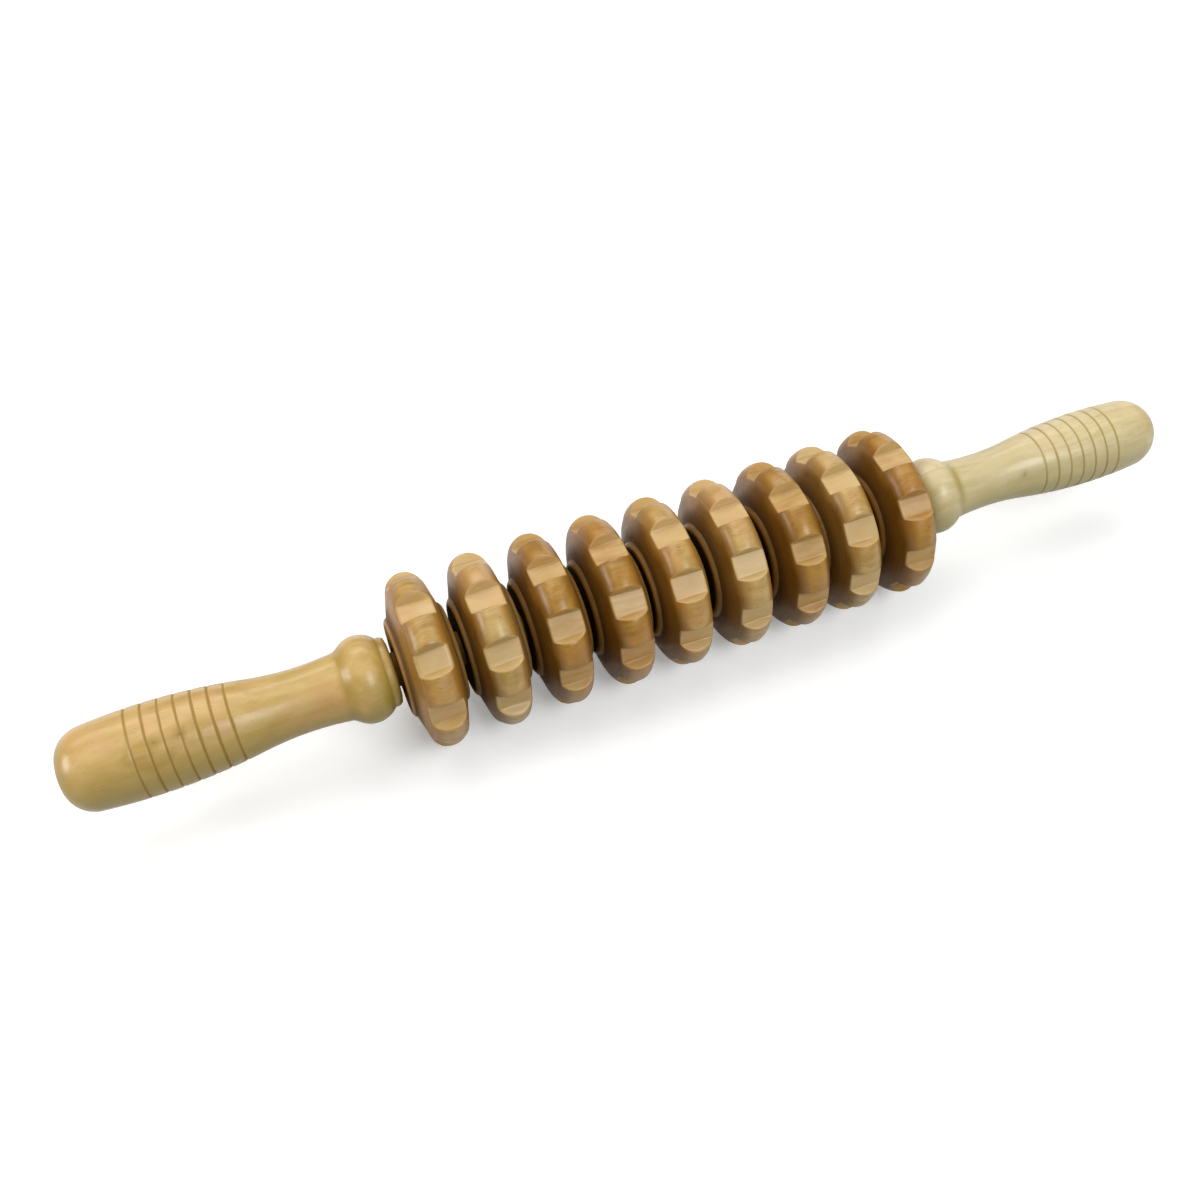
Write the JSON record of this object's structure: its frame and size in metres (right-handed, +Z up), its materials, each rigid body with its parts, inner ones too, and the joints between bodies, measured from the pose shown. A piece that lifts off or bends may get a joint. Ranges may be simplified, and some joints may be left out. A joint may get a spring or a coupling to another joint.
{
  "type": "foot massage roller",
  "caption": "Turned wooden massage roller: notched wheels turn freely on a dowel between two grooved, bulbous handles.",
  "frame": {"origin": "middle of the overall length, on the axle's axis", "axes": "+X along the axle from the left handle to the right handle, +Z up, so the wheels stand on a surface below"},
  "size_m": [0.4154, 0.062, 0.062],
  "materials": {
    "handle_wood": "clear varnish, satin",
    "axle_wood": "bare, sanded",
    "wheel_wood_light": "clear varnish, satin",
    "wheel_wood_mid": "clear varnish, satin",
    "wheel_wood_dark": "clear varnish, satin"
  },
  "bodies": {
    "grip_frame": {"axle_dowel": "axle_wood", "left_handle": "handle_wood", "right_handle": "handle_wood"},
    "wheel_1_body": {"wheel_1": "wheel_wood_mid"},
    "wheel_2_body": {"wheel_2": "wheel_wood_light"},
    "wheel_3_body": {"wheel_3": "wheel_wood_dark"},
    "wheel_4_body": {"wheel_4": "wheel_wood_dark"},
    "wheel_5_body": {"wheel_5": "wheel_wood_mid"},
    "wheel_6_body": {"wheel_6": "wheel_wood_light"},
    "wheel_7_body": {"wheel_7": "wheel_wood_dark"},
    "wheel_8_body": {"wheel_8": "wheel_wood_light"},
    "wheel_9_body": {"wheel_9": "wheel_wood_dark"}
  },
  "joints": [
    {"name": "wheel_1_spin", "type": "hinge", "parent": "grip_frame", "child": "wheel_1_body", "pos_m": [-0.085, 0, 0], "axis": [1, 0, 0], "continuous": true},
    {"name": "wheel_2_spin", "type": "hinge", "parent": "grip_frame", "child": "wheel_2_body", "pos_m": [-0.0625, 0, 0], "axis": [1, 0, 0], "continuous": true},
    {"name": "wheel_3_spin", "type": "hinge", "parent": "grip_frame", "child": "wheel_3_body", "pos_m": [-0.0402, 0, 0], "axis": [1, 0, 0], "continuous": true},
    {"name": "wheel_4_spin", "type": "hinge", "parent": "grip_frame", "child": "wheel_4_body", "pos_m": [-0.0179, 0, 0], "axis": [1, 0, 0], "continuous": true},
    {"name": "wheel_5_spin", "type": "hinge", "parent": "grip_frame", "child": "wheel_5_body", "pos_m": [0.0039, 0, 0], "axis": [1, 0, 0], "continuous": true},
    {"name": "wheel_6_spin", "type": "hinge", "parent": "grip_frame", "child": "wheel_6_body", "pos_m": [0.0266, 0, 0], "axis": [1, 0, 0], "continuous": true},
    {"name": "wheel_7_spin", "type": "hinge", "parent": "grip_frame", "child": "wheel_7_body", "pos_m": [0.0486, 0, 0], "axis": [1, 0, 0], "continuous": true},
    {"name": "wheel_8_spin", "type": "hinge", "parent": "grip_frame", "child": "wheel_8_body", "pos_m": [0.0691, 0, 0], "axis": [1, 0, 0], "continuous": true},
    {"name": "wheel_9_spin", "type": "hinge", "parent": "grip_frame", "child": "wheel_9_body", "pos_m": [0.0912, 0, 0], "axis": [1, 0, 0], "continuous": true}
  ]
}
